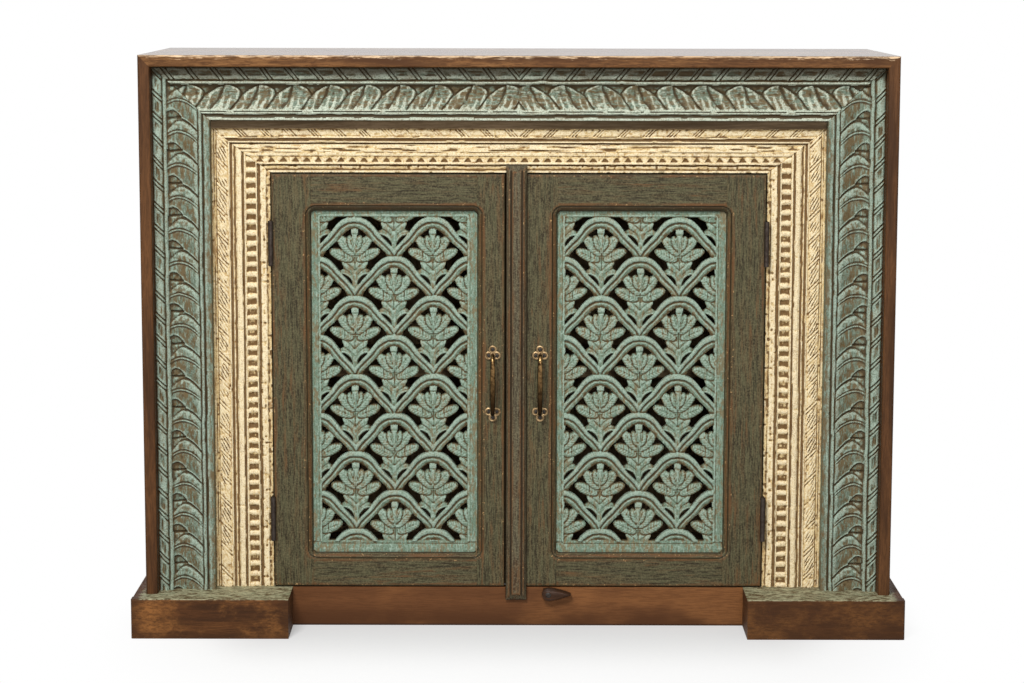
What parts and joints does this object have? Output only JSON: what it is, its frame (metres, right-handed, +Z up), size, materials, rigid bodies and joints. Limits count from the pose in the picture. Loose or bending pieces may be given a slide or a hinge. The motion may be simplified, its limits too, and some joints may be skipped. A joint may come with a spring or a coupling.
{
  "type": "carved sideboard",
  "caption": "Low cupboard with a plain dark case on a plinth, nested carved door frames and a pair of doors with pierced fish-scale panels.",
  "frame": {"origin": "centre of the floor area under the sideboard, on the floor", "axes": "+X to the right of someone who faces the doors, +Y from the doors towards the back, +Z up"},
  "size_m": [1.2, 0.44, 0.9],
  "materials": {
    "dark_wood": "dark brown stained hardwood with a thin satin wax",
    "painted_cap": "hardwood with worn grey-green paint near the carved frame",
    "rail_wood": "warm red-brown hardwood with a thin satin wax",
    "inside_wood": "plain brown stained board, matt",
    "teal_paint": "carved hardwood with worn teal paint, brown in the cuts",
    "panel_paint": "pierced hardwood with bright worn teal paint",
    "cream_paint": "carved hardwood with worn cream paint, brown where it is rubbed",
    "door_paint": "old hardwood with thin grey-green paint rubbed back to red-brown",
    "button_wood": "dark hardwood, worn smooth",
    "bronze": "aged bronze with a bright rubbed grip",
    "hinge_metal": "dark oiled iron"
  },
  "bodies": {
    "carcass": {"top_board": "dark_wood", "left_side_board": "dark_wood", "right_side_board": "dark_wood", "bottom_board": "inside_wood", "back_panel": "inside_wood", "shelf": "inside_wood", "left_shelf_cleat": "inside_wood", "right_shelf_cleat": "inside_wood", "left_block_front": "dark_wood", "left_block_side": "dark_wood", "left_block_return": "dark_wood", "left_block_cap": "painted_cap", "right_block_front": "dark_wood", "right_block_side": "dark_wood", "right_block_return": "dark_wood", "right_block_cap": "painted_cap", "front_rail": "rail_wood", "back_rail": "inside_wood", "door_stop": "inside_wood", "outer_frame_left_jamb": "teal_paint", "outer_frame_right_jamb": "teal_paint", "outer_frame_head": "teal_paint", "head_strip": "door_paint", "inner_frame_left_jamb": "cream_paint", "inner_frame_right_jamb": "cream_paint", "inner_frame_head": "cream_paint", "left_lower_hinge_frame_leaf": "hinge_metal", "left_upper_hinge_frame_leaf": "hinge_metal", "right_lower_hinge_frame_leaf": "hinge_metal", "right_upper_hinge_frame_leaf": "hinge_metal", "button_screw": "hinge_metal", "button_spacer": "button_wood"},
    "left_door": {"left_door_hinge_stile": "door_paint", "left_door_meeting_stile": "door_paint", "left_door_bottom_rail": "door_paint", "left_door_top_rail": "door_paint", "left_pierced_panel": "panel_paint", "left_door_handle": "bronze", "left_lower_hinge_door_leaf": "hinge_metal", "left_upper_hinge_door_leaf": "hinge_metal"},
    "right_door": {"right_door_hinge_stile": "door_paint", "right_door_meeting_stile": "door_paint", "right_door_bottom_rail": "door_paint", "right_door_top_rail": "door_paint", "right_pierced_panel": "panel_paint", "right_door_handle": "bronze", "right_lower_hinge_door_leaf": "hinge_metal", "right_upper_hinge_door_leaf": "hinge_metal", "cover_strip": "door_paint"},
    "turn_button": {"turn_button": "button_wood"}
  },
  "joints": [
    {"name": "left_door_hinge", "type": "hinge", "parent": "carcass", "child": "left_door", "pos_m": [-0.385, -0.1363, 0.39], "axis": [0, 0, -1], "range_deg": [0, 110]},
    {"name": "right_door_hinge", "type": "hinge", "parent": "carcass", "child": "right_door", "pos_m": [0.385, -0.1363, 0.39], "axis": [0, 0, 1], "range_deg": [0, 110]},
    {"name": "turn_button_pivot", "type": "hinge", "parent": "carcass", "child": "turn_button", "pos_m": [0.048, -0.133, 0.0525], "axis": [0, -1, 0], "range_deg": [-90, 90]}
  ]
}
